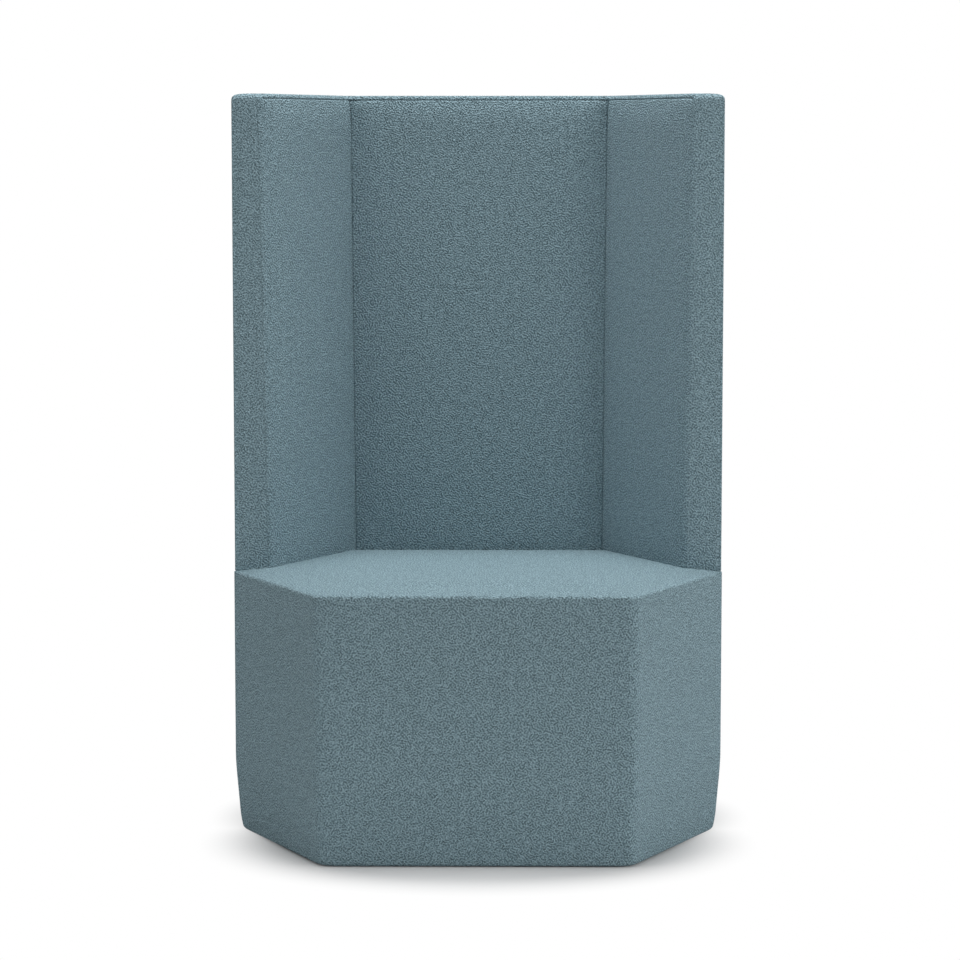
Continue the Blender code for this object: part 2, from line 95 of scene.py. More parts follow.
# Swelling of each padded face as cloth held at its seams, by the rows of points next to them
SWELL_FRAMES = 16
HELD_ROWS = 3
SEAT_SWELL = 0.0042
INNER_SWELL = 0.0026
OUTER_SWELL = 0.0020

# Spacing of the points over a face, and closer and closer towards its seams
CLOTH_STEP = 0.0105
SEAM_SPACING = np.array([0.0, 0.0008, 0.0018, 0.003, 0.005, 0.009, 0.015])
TINY = 1e-9


def srgb(code):
    """The linear colour of an sRGB hex code."""
    parts = [int(code[i : i + 2], 16) / 255 for i in (1, 3, 5)]
    return [c / 12.92 if c <= 0.04045 else ((c + 0.055) / 1.055) ** 2.4 for c in parts] + [1.0]


def node(tree, kind, inputs=(), **settings):
    """Adds a node, sets its options, and fills its inputs with values or with other nodes' outputs."""
    made = tree.nodes.new(kind)
    for name, value in settings.items():
        setattr(made, name, value)
    for name, value in dict(inputs).items():
        if isinstance(value, bpy.types.NodeSocket):
            tree.links.new(value, made.inputs[name])
        else:
            made.inputs[name].default_value = value
    return made


def per_metre(millimetres):
    """The scale of a pattern whose features are this many millimetres across."""
    return 1000.0 / millimetres


def surface(name, inputs):
    """A new material with its Principled shader's constant inputs set, and its node tree."""
    material = bpy.data.materials.new(name)
    material.use_nodes = True
    shader = material.node_tree.nodes["Principled BSDF"]
    for socket, value in inputs.items():
        shader.inputs[socket].default_value = value
    return material, material.node_tree, shader


def place_on(tree):
    """The place on a piece, in metres, that its pattern is laid by."""
    return node(tree, "ShaderNodeTexCoord").outputs["Object"]


def noise(tree, place, across_mm, detail, distortion=0.0, **settings):
    """Cloudy noise with features this many millimetres across."""
    inputs = {"Vector": place, "Scale": per_metre(across_mm), "Detail": detail, "Distortion": distortion}
    return node(tree, "ShaderNodeTexNoise", inputs, **settings).outputs["Fac"]


def cells(tree, place, across_mm, randomness=1.0):
    """Round cells this many millimetres across, as the distance from their middles."""
    inputs = {"Vector": place, "Scale": per_metre(across_mm), "Randomness": randomness}
    return node(tree, "ShaderNodeTexVoronoi", inputs).outputs["Distance"]


def two_tones(tree, shader, mask, low, high):
    """Colours a surface between two tones, each a value of the mask and a colour."""
    tint = node(tree, "ShaderNodeValToRGB", {"Fac": mask})
    for stop, (value, code) in zip(tint.color_ramp.elements, (low, high)):
        stop.position, stop.color = value, srgb(code)
    tree.links.new(tint.outputs["Color"], shader.inputs["Base Color"])


def uneven_gloss(tree, shader, mask, least, most):
    """Spreads the roughness of a surface between two values."""
    gloss = node(tree, "ShaderNodeMapRange", {"Value": mask, "To Min": least, "To Max": most})
    tree.links.new(gloss.outputs["Result"], shader.inputs["Roughness"])


def relief(tree, shader, height, strength, depth):
    """Gives a surface a fine relief of a depth in metres."""
    bump = node(tree, "ShaderNodeBump", {"Strength": strength, "Distance": depth, "Height": height})
    tree.links.new(bump.outputs["Normal"], shader.inputs["Normal"])


# Finishes

RIDGE_MM = 4.7
RIDGES_PER_CELL = 1.3
RIDGE_LEAN = math.radians(90.0)
RIDGE_HEIGHT = 0.0044
DRIFT_MM = 9.0
DRIFT_SHARE = 0.20
GRAIN_STRETCH = 0.06


def upholstery_cloth():
    """Wool-blend crepe: short curled ridges 5 mm apart that lean every way, matt grey teal; painted shade
    darkens the gaps between the ridges and a painted highlight makes their crests paler, over a slow random
    drift of tone.
    """
    material, tree, shader = surface(
        "wool_crepe_cloth",
        {"Roughness": 0.93, "Specular IOR Level": 0.2, "Sheen Weight": 0.03, "Sheen Roughness": 0.55},
    )
    run = node(tree, "ShaderNodeTexCoord").outputs["UV"]
    curls = {
        "Vector": run,
        "Scale": per_metre(RIDGE_MM * RIDGES_PER_CELL),
        "Frequency": RIDGES_PER_CELL,
        "Anisotropy": 0.1,
        "Orientation": RIDGE_LEAN,
    }
    ridges = node(tree, "ShaderNodeTexGabor", curls, gabor_type="2D").outputs["Value"]
    drift = noise(tree, run, DRIFT_MM, 1.0, noise_dimensions="2D")
    # the tone rises with the ridges: painted shade in the gaps between them and a painted highlight on their
    # crests, over a slow random drift of tone
    shade = node(tree, "ShaderNodeMath", {0: drift, 1: DRIFT_SHARE, 2: ridges}, operation="MULTIPLY_ADD")
    two_tones(tree, shader, shade.outputs[0], (0.46, "#667e86"), (0.74, "#99b3bd"))
    relief(tree, shader, ridges, 1.0, RIDGE_HEIGHT)
    return material


def sewing_thread_and_seam_shade():
    """Bonded polyester thread: twisted, a touch deeper than the cloth, with a faint gloss; along the seams its
    deep tone is also painted shade, a dashed dark line that stands in for the shade where the cloth puckers at
    each stitch.
    """
    material, tree, shader = surface("polyester_thread_and_painted_seam_shade", {"Roughness": 0.6, "Sheen Weight": 0.1})
    twist = noise(tree, place_on(tree), 1.2, 2.0)
    two_tones(tree, shader, twist, (0.35, "#2f3e44"), (0.70, "#435359"))
    return material


def grained_wood(name, pale, dark, band_mm):
    """Sawn wood: long grain along one way, darker late wood, open pores, a dull sanded surface."""
    material, tree, shader = surface(name, {"Roughness": 0.62, "Specular IOR Level": 0.35})
    stretch = {"Vector": place_on(tree), "Scale": (1.0, 1.0, GRAIN_STRETCH)}
    along = node(tree, "ShaderNodeMapping", stretch).outputs[0]
    two_tones(tree, shader, noise(tree, along, band_mm, 5.0, distortion=1.2), (0.30, dark), (0.70, pale))
    relief(tree, shader, noise(tree, along, 0.9, 2.0), 0.3, 0.0003)
    return material


def cut_foam():
    """Cut polyurethane foam: open cells about a millimetre across, buff, fully matt."""
    material, tree, shader = surface("polyurethane_foam", {"Roughness": 0.97, "Specular IOR Level": 0.1})
    pores = cells(tree, place_on(tree), 1.6)
    two_tones(tree, shader, pores, (0.0, "#b5a67e"), (0.6, "#e2d6b3"))
    relief(tree, shader, pores, 0.6, 0.0006)
    return material


def zinc_plate():
    """Bright zinc on rolled steel: pale grey metal with a faint spangle and a soft, uneven gloss."""
    material, tree, shader = surface("zinc_plated_steel", {"Metallic": 1.0})
    place = place_on(tree)
    two_tones(tree, shader, cells(tree, place, 6.0), (0.0, "#c3c6c6"), (1.0, "#a7abac"))
    uneven_gloss(tree, shader, noise(tree, place, 2.0, 4.0), 0.24, 0.46)
    return material


def moulded_nylon():
    """Injection-moulded black nylon: charcoal, satin, with the fine grain of a spark-cut mould."""
    material, tree, shader = surface("moulded_nylon", {"IOR": 1.53, "Specular IOR Level": 0.45})
    grain = noise(tree, place_on(tree), 0.8, 3.0)
    two_tones(tree, shader, grain, (0.0, "#1d1e20"), (1.0, "#2b2d2f"))
    uneven_gloss(tree, shader, grain, 0.38, 0.58)
    relief(tree, shader, grain, 0.25, 0.0002)
    return material


def spunbond_cloth():
    """Black spunbond polypropylene: matted fibres, dull, with a grid of small welded dots 3 mm apart."""
    matt = {"Roughness": 0.88, "Specular IOR Level": 0.25}
    material, tree, shader = surface("spunbond_polypropylene", matt)
    place = place_on(tree)
    two_tones(tree, shader, noise(tree, place, 2.4, 6.0, distortion=2.0), (0.0, "#17181a"), (1.0, "#303336"))
    relief(tree, shader, cells(tree, place, 3.0, randomness=0.0), 0.5, 0.0003)
    return material


CLOTH = upholstery_cloth()
THREAD_AND_SEAM_SHADE = sewing_thread_and_seam_shade()
PLYWOOD = grained_wood("birch_plywood", "#dcc39b", "#b9966a", 14.0)
HARDWOOD = grained_wood("beech_block", "#c9a077", "#a67c54", 9.0)
FOAM = cut_foam()
ZINC = zinc_plate()
NYLON = moulded_nylon()
SPUNBOND = spunbond_cloth()

NODE_FINISHES = {
    "wall_": PLYWOOD,
    "rib_": PLYWOOD,
    "seat_deck": PLYWOOD,
    "bottom_board": PLYWOOD,
    "back_core_": PLYWOOD,
    "corner_block_": HARDWOOD,
    "corner_angle_": ZINC,
    "foot_bracket_": ZINC,
    "tee_nut_": ZINC,
    "glide_stem_": ZINC,
    "glide_pad_": NYLON,
    "seat_foam": FOAM,
    "side_foam": FOAM,
    "inner_foam_": FOAM,
    "outer_foam_": FOAM,
    "edge_foam": FOAM,
    "dust_cover": SPUNBOND,
    "seat_cover": CLOTH,
    "inner_cover_": CLOTH,
    "outer_cover": CLOTH,
    "edge_band": CLOTH,
}
for node_name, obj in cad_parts.items():
    finish = next(m for start, m in NODE_FINISHES.items() if node_name.startswith(start))
    obj.data.materials.clear()
    obj.data.materials.append(finish)


# Plan geometry


def side_line(side, inset):
    """One side of the plan, moved in by an inset."""
    return NORMALS[side], AWAY[side] - inset


def end_line(y):
    """The line across a wing at one distance behind its front end."""
    return np.array([0.0, 1.0]), y


def meet(first, second):
    """Where two plan lines, each a normal and a distance, cross."""
    return np.linalg.solve(np.array([first[0], second[0]]), np.array([first[1], second[1]]))


def plan_corners(inset):
    """The six corners of the plan at an inset, each at the end of its side."""
    return [meet(side_line(i, inset), side_line((i + 1) % 6, inset)) for i in range(6)]


def between(start, end, shares):
    """Points at shares of the way from start to end."""
    return start + (end - start) * np.asarray(shares)[:, None]


def bend(start, corner, end, shares):
    """A smooth turn from start to end that heads for the corner."""
    s = np.asarray(shares)[:, None]
    return start * (1 - s) ** 2 + corner * 2 * s * (1 - s) + end * s**2


def thickness(z):
    """The back's thickness at a height: it is thinner towards the top."""
    return np.interp(z, [FOOT_Z, TOP_Z], [THICK_FOOT, THICK_TOP])


def turn_in(distance, radius):
    """How far a padded face has dropped back at a distance from its seam."""
    near = np.clip(1.0 - np.asarray(distance) / radius, 0.0, 1.0)
    return radius * (1.0 - np.sqrt(1.0 - near**2 * SHORT_OF_SQUARE))


def roll_off(distance, roll):
    """The slow roll of a padded face towards its seam."""
    reach, drop = roll
    return drop * np.clip(1.0 - np.asarray(distance) / reach, 0.0, 1.0) ** 2


def spaced(length):
    """Shares of a length, close together at both ends, where a face turns into its seams."""
    edge = SEAM_SPACING
    count = max(2, round((length - 2 * edge[-1]) / CLOTH_STEP)) + 1
    inner = np.linspace(edge[-1], length - edge[-1], count)
    return np.concatenate([edge[:-1], inner, length - edge[-2::-1]]) / length


# Meshes


def quads(rows, columns, first=0, wrap=False):
    """The faces of a grid of points, counted row by row, which may close on itself."""
    last = columns if wrap else columns - 1
    faces = []
    for r in range(rows - 1):
        for c in range(last):
            d = (c + 1) % columns
            a = first + r * columns
            faces.append((a + c, a + d, a + columns + d, a + columns + c))
    return faces


def piece(name, points, faces, material, smooth=True):
    """A mesh object at the origin, with its faces turned outwards."""
    data = bpy.data.meshes.new(name)
    data.from_pydata([tuple(p) for p in points], [], faces)
    mesh = bmesh.new()
    mesh.from_mesh(data)
    bmesh.ops.recalc_face_normals(mesh, faces=mesh.faces)
    mesh.to_mesh(data)
    mesh.free()
    data.polygons.foreach_set("use_smooth", [smooth] * len(data.polygons))
    data.materials.append(material)
    obj = bpy.data.objects.new(name, data)
    bpy.context.scene.collection.objects.link(obj)
    return obj


def closed_tube(name, rings, material):
    """A piece made of rings of points, one after the other, with its two ends closed."""
    count, around = rings.shape[:2]
    faces = quads(count, around, wrap=True)
    faces += [tuple(range(around)), tuple((count - 1) * around + c for c in range(around))]
    return piece(name, rings.reshape(-1, 3), faces, material)


LEVEL_FACING = 0.75
RUN_APART = 2.0


def lay_cloth(obj):
    """A UV map in metres: each face takes the cloth from the side of the plan that it faces, or from above.
    The sides' runs are set apart, so that no two show the same stretch of cloth."""
    data = obj.data
    layer = data.uv_layers.new(name="cloth_run")
    for face in data.polygons:
        facing = np.array(face.normal)
        side = int(np.argmax(NORMALS @ facing[:2]))
        for corner in face.loop_indices:
            x, y, z = data.vertices[data.loops[corner].vertex_index].co
            if abs(facing[2]) > LEVEL_FACING:
                layer.data[corner].uv = (x, y)
            else:
                along = y * NORMALS[side][0] - x * NORMALS[side][1]
                layer.data[corner].uv = (along + RUN_APART * side, z)
    return obj


def finer(obj):
    """One subdivision, which rounds the seams."""
    modifier = obj.modifiers.new("soft_edges", "SUBSURF")
    modifier.levels = modifier.render_levels = 1
    return obj


def padded_panel(name, face, back):
    """A closed pad between a visible face and the board behind it, both grids of the same size."""
    rows, columns = face.shape[:2]
    count = rows * columns
    border = list(range(columns))
    border += [r * columns + columns - 1 for r in range(1, rows)]
    border += [(rows - 1) * columns + c for c in range(columns - 2, -1, -1)]
    border += [r * columns for r in range(rows - 2, 0, -1)]
    rim = [(a, b, b + count, a + count) for a, b in zip(border, border[1:] + border[:1])]
    behind = [tuple(reversed(f)) for f in quads(rows, columns, count)]
    points = np.concatenate([face.reshape(-1, 3), back.reshape(-1, 3)])
    return finer(lay_cloth(piece(name, points, quads(rows, columns) + behind + rim, CLOTH)))


def swell(grid, outward, cap):
    """Blows a face up as cloth held at its seams; no point moves further than the cap."""
    rows, columns = grid.shape[:2]
    faces = quads(rows, columns)
    a, b, c, _ = (grid.reshape(-1, 3)[list(f)] for f in zip(*faces))
    if np.cross(b - a, c - b).sum(axis=0) @ np.asarray(outward) < 0:
        faces = [tuple(reversed(f)) for f in faces]
    data = bpy.data.meshes.new("swelling")
    data.from_pydata([tuple(p) for p in grid.reshape(-1, 3)], [], faces)
    obj = bpy.data.objects.new("swelling", data)
    bpy.context.scene.collection.objects.link(obj)
    held = obj.vertex_groups.new(name="seams")
    rim = np.ones((rows, columns), bool)
    rim[HELD_ROWS:-HELD_ROWS, HELD_ROWS:-HELD_ROWS] = False
    held.add([int(i) for i in np.flatnonzero(rim)], 1.0, "REPLACE")
    cloth = obj.modifiers.new("cloth", "CLOTH")
    settings = cloth.settings
    settings.vertex_group_mass = "seams"
    settings.quality = 5
    settings.mass = 0.05
    settings.tension_stiffness = settings.compression_stiffness = 12.0
    settings.shear_stiffness = 6.0
    settings.bending_stiffness = 1.5
    settings.use_pressure = True
    settings.uniform_pressure_force = 4.0
    settings.effector_weights.gravity = 0.0
    cloth.collision_settings.use_collision = False
    cloth.point_cache.frame_start, cloth.point_cache.frame_end = 1, SWELL_FRAMES
    scene = bpy.context.scene
    for step in range(1, SWELL_FRAMES + 1):
        scene.frame_set(step)
    blown = obj.evaluated_get(bpy.context.evaluated_depsgraph_get()).data
    points = np.empty(len(blown.vertices) * 3, np.float32)
    blown.vertices.foreach_get("co", points)
    scene.frame_set(1)
    bpy.data.objects.remove(obj)
    moved = points.reshape(grid.shape) - grid
    length = np.linalg.norm(moved, axis=2, keepdims=True)
    return grid + moved * cap * np.tanh(length / cap) / np.maximum(length, TINY)


# Seat: one cover from the hem under the walls, up the six sides and over the crowned top

FOOT_RADIUS = 0.0065
FOOT_INSET = 0.0088
FOOT_CORNER = 0.034
FOOT_CORNER_RISE = 0.050

# Section of the sides, as inset and height: the hem, the foot turned under, a slow lean out, then upright
SEAT_SECTION = [(HEM_INSET, HEM_Z)]
for angle in np.radians([-90.0, -72.0, -54.0, -36.0, -18.0, 0.0]):
    out, up = FOOT_RADIUS * (1.0 - math.cos(angle)), FOOT_RADIUS * (1.0 + math.sin(angle))
    SEAT_SECTION.append((FOOT_INSET + out, HEM_Z + up))
SEAT_SECTION += [(0.0084, 0.016), (0.0080, 0.026), (0.0073, 0.036), (0.0066, 0.045), (0.0059, 0.053)]
SEAT_SECTION += [(0.0052, 0.061), (0.0045, 0.070), (0.0037, 0.079), (0.0029, 0.088), (0.0021, 0.097)]
SEAT_SECTION += [(0.0015, 0.105), (0.0009, 0.114), (0.0004, 0.122), (0.0001, 0.131), (0.0, 0.140)]
SEAT_SECTION += [(0.0, float(z)) for z in np.linspace(0.148, 0.440, 29)]


def turned_edge(radius, top_z):
    """Section points of an edge turned in a quarter round that ends just under a height."""
    turns = np.radians([0, 15, 30, 45, 60, 75])
    return [(radius * (1 - math.cos(a)), top_z - radius * (1 - math.sin(a))) for a in turns]


# The seat's edge is soft at the front and pressed down where the back stands on it, up to an inset;
# between the two it tightens over a few columns
PRESSED_Z = FOOT_Z - HALF_JOINT
UNDER_BACK = 0.0570
SEAT_EDGE = turned_edge(0.0055, SEAT_EDGE_Z)
REAR_EDGE = turned_edge(0.0009, PRESSED_Z)
TIGHTENING = 5

# The crown as inset and height, and the insets of the rings of points that are laid over it
SEAT_CROWN = SEAT_EDGE + [(0.010, 0.4587), (0.015, 0.4594), (0.022, 0.4603), (0.030, 0.4612)]
SEAT_CROWN += [(0.040, 0.4621), (0.050, 0.4628), (0.060, 0.4633), (0.080, 0.4638), (0.300, 0.4642)]
CROWN_INSETS = [0.010, 0.015, 0.022, 0.030, 0.040, 0.050, 0.0560, 0.0568, 0.0578, 0.0592, 0.0625]

# The hidden inside of the cover, along the plywood box
SEAT_INSIDE = [
    (HEM_INSET, HEM_TOP_Z),
    (WALL_FACE + 0.001, HEM_TOP_Z),
    (WALL_FACE, 0.020),
    (WALL_FACE, 0.200),
    (WALL_FACE, DECK_TOP_Z - 0.001),
    (WALL_FACE + 0.002, DECK_TOP_Z),
    (CROWN_INSETS[-1], DECK_TOP_Z),
]
CORNER_SOFTNESS = 0.010
SEAT_CORNERS = [0.024, 0.014, 0.014, 0.014, 0.014, 0.024]
LEAST_CORNER = 0.001
FRONT_COLUMNS, SIDE_COLUMNS = 52, 32


def seat_ring(inset, least=LEAST_CORNER):
    """Plan points round the seat at an inset, corner to corner, with the corners turned in an arc."""
    eases = [max(radius - inset, least) * ARC_START for radius in SEAT_CORNERS]
    corners = plan_corners(inset)
    ring = []
    for i in range(6):
        start, end = corners[i - 1], corners[i]
        first, last = eases[i - 1], eases[i]
        way = (end - start) / np.linalg.norm(end - start)
        before = corners[i - 2] - start
        after = corners[(i + 1) % 6] - end
        turn_start = start + first * before / np.linalg.norm(before)
        turn_end = end + last * after / np.linalg.norm(after)
        leave = bend(turn_start, start, start + first * way, [0.5, 0.75])
        arrive = bend(end - last * way, end, turn_end, [0.25])
        count = (FRONT_COLUMNS if i in (FRONT, REAR) else SIDE_COLUMNS) - len(leave) - len(arrive)
        run = between(start + first * way, end - last * way, np.linspace(0.0, 1.0, count))
        ring.append(np.concatenate([leave, run, arrive]))
    return np.concatenate(ring)


def seat_height(plan):
    """The crown over each plan point, softened where two sides meet at a corner."""
    inset = AWAY - plan @ NORMALS.T
    softened = -CORNER_SOFTNESS * np.log(np.exp(-inset / CORNER_SOFTNESS).sum(axis=-1))
    heights = np.array(SEAT_CROWN)
    return np.interp(softened, heights[:, 0], heights[:, 1])


def seat_patch(rim):
    """A grid over the middle of the seat that fits the rim's points."""
    f, s = FRONT_COLUMNS, SIDE_COLUMNS
    closed = np.concatenate([rim, rim[:1]])
    front = closed[: f + 1]
    right = closed[f : f + 2 * s + 1]
    rear = closed[f + 2 * s : 2 * f + 2 * s + 1][::-1]
    left = closed[2 * f + 2 * s :][::-1]
    u = np.linspace(0.0, 1.0, f + 1)[None, :, None]
    v = np.linspace(0.0, 1.0, 2 * s + 1)[:, None, None]
    sides = left[:, None] * (1 - u) + right[:, None] * u
    ends = front[None] * (1 - v) + rear[None] * v
    corners = (front[0] * (1 - u) + front[-1] * u) * (1 - v) + (rear[0] * (1 - u) + rear[-1] * u) * v
    return sides + ends - corners


def patch_numbers(first, new):
    """Numbers a seat patch: its border is the ring of points from first on, and its inside starts at new."""
    f, s = FRONT_COLUMNS, SIDE_COLUMNS
    columns = 2 * f + 4 * s
    number = np.full((2 * s + 1, f + 1), -1)
    loop = np.arange(columns + 1) % columns + first
    number[0], number[:, -1] = loop[: f + 1], loop[f : f + 2 * s + 1]
    number[-1, ::-1], number[::-1, 0] = loop[f + 2 * s : 2 * f + 2 * s + 1], loop[2 * f + 2 * s :]
    inside = number < 0
    number[inside] = new + np.arange(inside.sum())
    corners = (number[:-1, :-1], number[:-1, 1:], number[1:, 1:], number[1:, :-1])
    faces = [tuple(int(i) for i in face) for face in np.stack(corners, axis=2).reshape(-1, 4)]
    return inside, faces


def edge_ring(front, rear):
    """A ring of the seat's edge: soft at the front, tighter towards the sides that carry the back."""
    columns = np.arange(2 * FRONT_COLUMNS + 4 * SIDE_COLUMNS)
    first, last = FRONT_COLUMNS + SIDE_COLUMNS, 2 * FRONT_COLUMNS + 3 * SIDE_COLUMNS
    away = np.maximum(np.maximum(first - columns, columns - last), 0)
    soft = np.clip(away / TIGHTENING, 0.0, 1.0)[:, None]
    return level_ring(*front) * soft + level_ring(*rear) * (1.0 - soft)


def level_ring(inset, z, least=LEAST_CORNER):
    """A ring of points round the seat at one height."""
    plan = seat_ring(inset, least)
    return np.column_stack([plan, np.full(len(plan), z)])


def foot_corner(z):
    """The corners are rounder towards the floor, where the cloth is pulled under."""
    return max(LEAST_CORNER, FOOT_CORNER * max(0.0, 1.0 - z / FOOT_CORNER_RISE) ** 2)


def seat_upholstery():
    """The plinth's cover: sides, edge and crown, closed by the hidden inside."""
    rings = [level_ring(inset, z, foot_corner(z)) for inset, z in SEAT_SECTION]
    rings += [edge_ring(front, rear) for front, rear in zip(SEAT_EDGE, REAR_EDGE)]
    for inset in CROWN_INSETS:
        plan = seat_ring(inset)
        height = seat_height(plan)
        if inset <= UNDER_BACK:
            height = np.where(plan[:, 1] > EASE, np.minimum(height, PRESSED_Z), height)
        rings.append(np.column_stack([plan, height]))
    skin = np.array(rings)
    rows, columns = skin.shape[:2]
    plan = seat_patch(skin[-1, :, :2])
    patch = np.concatenate([plan, seat_height(plan)[..., None]], axis=2)
    patch = swell(patch, (0, 0, 1), SEAT_SWELL)
    inside, over = patch_numbers((rows - 1) * columns, rows * columns)
    points = np.concatenate([skin.reshape(-1, 3), patch[inside]])
    # the hidden inside runs under the walls, up their faces and over the deck
    first = len(points)
    hidden = np.array([level_ring(inset, z) for inset, z in SEAT_INSIDE])
    last = first + (len(hidden) - 1) * columns
    deck_inside, deck = patch_numbers(last, last + columns)
    deck_points = np.concatenate([plan, np.full(plan.shape[:2] + (1,), DECK_TOP_Z)], axis=2)
    points = np.concatenate([points, hidden.reshape(-1, 3), deck_points[deck_inside]])
    hem = [(c, (c + 1) % columns, first + (c + 1) % columns, first + c) for c in range(columns)]
    faces = quads(rows, columns, wrap=True) + over + hem
    faces += quads(len(hidden), columns, first, wrap=True) + deck
    obj = finer(lay_cloth(piece("seat_upholstery", points, faces, CLOTH)))
    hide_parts("seat_cover", "seat_foam", "side_foam")
    return obj


# Back: a pad on each inner face, one cover round the outside, and a soft roll along the edge

SEAM_Z = TOP_Z - ROLL
PAD_FOOT_Z = FOOT_Z + HALF_JOINT


def panel_rows():
    """Heights of a back panel's rows, how far each is below the top seam, its drop into foot and seam."""
    height = SEAM_Z - EASE - PAD_FOOT_Z
    z = PAD_FOOT_Z + height * spaced(height)
    from_top = SEAM_Z - EASE - z
    return z, from_top, np.hypot(turn_in(z - PAD_FOOT_Z, FOOT_TURN), turn_in(from_top, SEAM_TURN))


def fullness(side, y):
    """What the filling adds to the thickness of a wing at a distance behind its end."""
    return 0.0 if side == REAR else np.interp(y, *WING_FULLNESS)


def inner_pad(label, sides, tuck, rolls):
    """A pad on one inner face, between two neighbours in plan: each a side, or a wing's end at a y."""
    side, first, second = sides
    z, from_top, seam_drop = panel_rows()

    def edge(neighbour, depth):
        """Where the pad ends at a depth, in the row that deep and sink belong to."""
        if isinstance(neighbour, float):
            return meet(side_line(side, depth + fullness(side, neighbour)), end_line(neighbour))
        full = WING_FULLNESS[1][-1]
        if side == REAR:
            return meet(side_line(side, depth), side_line(neighbour, deep + full - EASE - sink))
        return meet(side_line(side, depth + full), side_line(neighbour, deep - GROOVE))

    deep, sink = thickness(z[len(z) // 2]), 0.0
    width = np.linalg.norm(edge(second, deep) - edge(first, deep))
    shares = spaced(width)
    from_first, from_second = shares * width, (1 - shares) * width
    seams = np.hypot(turn_in(from_first, tuck[0]), turn_in(from_second, tuck[1]))
    slow = roll_off(from_first, rolls[0]) + roll_off(from_second, rolls[1])
    face = np.empty((len(z), len(shares), 3))
    back = np.empty_like(face)
    for r, height in enumerate(z):
        deep, behind = thickness(height), thickness(height) - INNER_PAD
        top_roll = roll_off(from_top[r], TOP_ROLL)
        sink = seam_drop[r] + top_roll
        fade = np.interp(from_top[r], *CREASE_FADE)
        drop = np.hypot(seams * fade, seam_drop[r]) + top_roll + slow * fade
        for c, share in enumerate(shares):
            depth = deep - min(drop[c], INNER_PAD - LEAST_PAD)
            face[r, c, :2] = between(edge(first, depth), edge(second, depth), [share])[0]
            back[r, c, :2] = between(edge(first, behind), edge(second, behind), [share])[0]
        face[r, :, 2] = back[r, :, 2] = height
    face = swell(face, [*(-NORMALS[side]), 0.0], INNER_SWELL)
    obj = padded_panel(f"back_pad_{label}", face, back)
    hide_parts(f"inner_cover_{label}", f"inner_foam_{label}")
    return obj


# Columns round the outside: along a wing up to where its corner bends, the bend, and half the rear
OUTER_WING_SHARES = spaced(HALF_DEPTH / math.cos(math.radians(30.0)))[:-3]
OUTER_BEND_SHARES = np.linspace(0.0, 1.0, 7)
REAR_COLUMNS = round(HALF_FRONT / CLOTH_STEP)
REAR_SHARES = np.arange(1, REAR_COLUMNS) / (REAR_COLUMNS - 0.5)


def outer_path(depth, y_end, share=0.0):
    """Plan points round the back, left to right, at a depth and a share of the wings' fullness."""
    ease = max(OUTER_CORNER - depth, LEAST_CORNER) * ARC_START
    near, far = (depth + share * full for full in WING_FULLNESS[1])
    tip = meet(side_line(REAR_LEFT, near), end_line(y_end))
    corner = meet(side_line(REAR_LEFT, far), side_line(REAR, depth))
    way = (corner - tip) / np.linalg.norm(corner - tip)
    wing = between(tip, corner - ease * way, OUTER_WING_SHARES)
    rear_start = corner + np.array([ease, 0.0])
    arc = bend(corner - ease * way, corner, rear_start, OUTER_BEND_SHARES)
    rear = between(rear_start, np.array([0.0, rear_start[1]]), REAR_SHARES)
    left = np.concatenate([wing, arc, rear])
    return np.concatenate([left, left[::-1] * [-1.0, 1.0]])


# The wing's outer edge in plan, from its front end and for each metre behind it, and the corner's rounding
WING_TIP = meet(side_line(REAR_LEFT, 0.0), end_line(0.0))[0]
WING_RUN = meet(side_line(REAR_LEFT, 0.0), end_line(1.0))[0] - WING_TIP
TIP_CORNER = 0.015
TIP_CORNER_FADE = ([0.012, 0.050], [1.0, 0.0])


def ease_tip(points):
    """Rounds the outer corner at the top of each wing's end, where cloth is pulled over the frame."""
    side = np.where(points[..., 0] < 0.0, -1.0, 1.0)
    across = TIP_CORNER - (abs(WING_TIP) - abs(WING_RUN) * points[..., 1] - abs(points[..., 0]))
    rise = TIP_CORNER - (TOP_Z - points[..., 2])
    reach = np.hypot(across, rise)
    over = np.where((across > 0.0) & (rise > 0.0), np.maximum(reach - TIP_CORNER, 0.0), 0.0)
    pull = over / np.maximum(reach, TINY) * np.interp(points[..., 1], *TIP_CORNER_FADE)
    return points - np.stack([side * across * pull, np.zeros_like(pull), rise * pull], axis=-1)


OUTER_DEPTHS = np.linspace(0.0, OUTER_PAD, 12)
MOST_DROP = 0.8


def outer_cover():
    """The pad and cover round the outside of the back, from one wing's end to the other's."""
    z, _, seam_drop = panel_rows()
    end = ROLL + EASE
    base = outer_path(0.0, end)
    run = np.concatenate([[0.0], np.cumsum(np.linalg.norm(np.diff(base, axis=0), axis=1))])
    side_drop = np.hypot(turn_in(run, SIDE_SEAM_TURN), turn_in(run[-1] - run, SIDE_SEAM_TURN))
    paths = np.array([outer_path(d, end) for d in OUTER_DEPTHS])
    face = np.empty((len(z), len(base), 3))
    back = np.empty_like(face)
    for r, height in enumerate(z):
        drop = np.hypot(side_drop, seam_drop[r])
        share = np.clip(drop / OUTER_PAD, 0.0, MOST_DROP) * (len(OUTER_DEPTHS) - 1)
        low = np.minimum(share.astype(int), len(OUTER_DEPTHS) - 2)
        mix = (share - low)[:, None]
        columns = np.arange(len(base))
        face[r, :, :2] = paths[low, columns] * (1 - mix) + paths[low + 1, columns] * mix
        back[r, :, :2] = paths[-1]
        face[r, :, 2] = back[r, :, 2] = height
    face = swell(ease_tip(face), (0.0, 1.0, 0.0), OUTER_SWELL)
    obj = padded_panel("back_outer_cover", face, back)
    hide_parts("outer_cover", *(f"outer_foam_{label}" for label in ("left", "rear", "right")))
    return obj


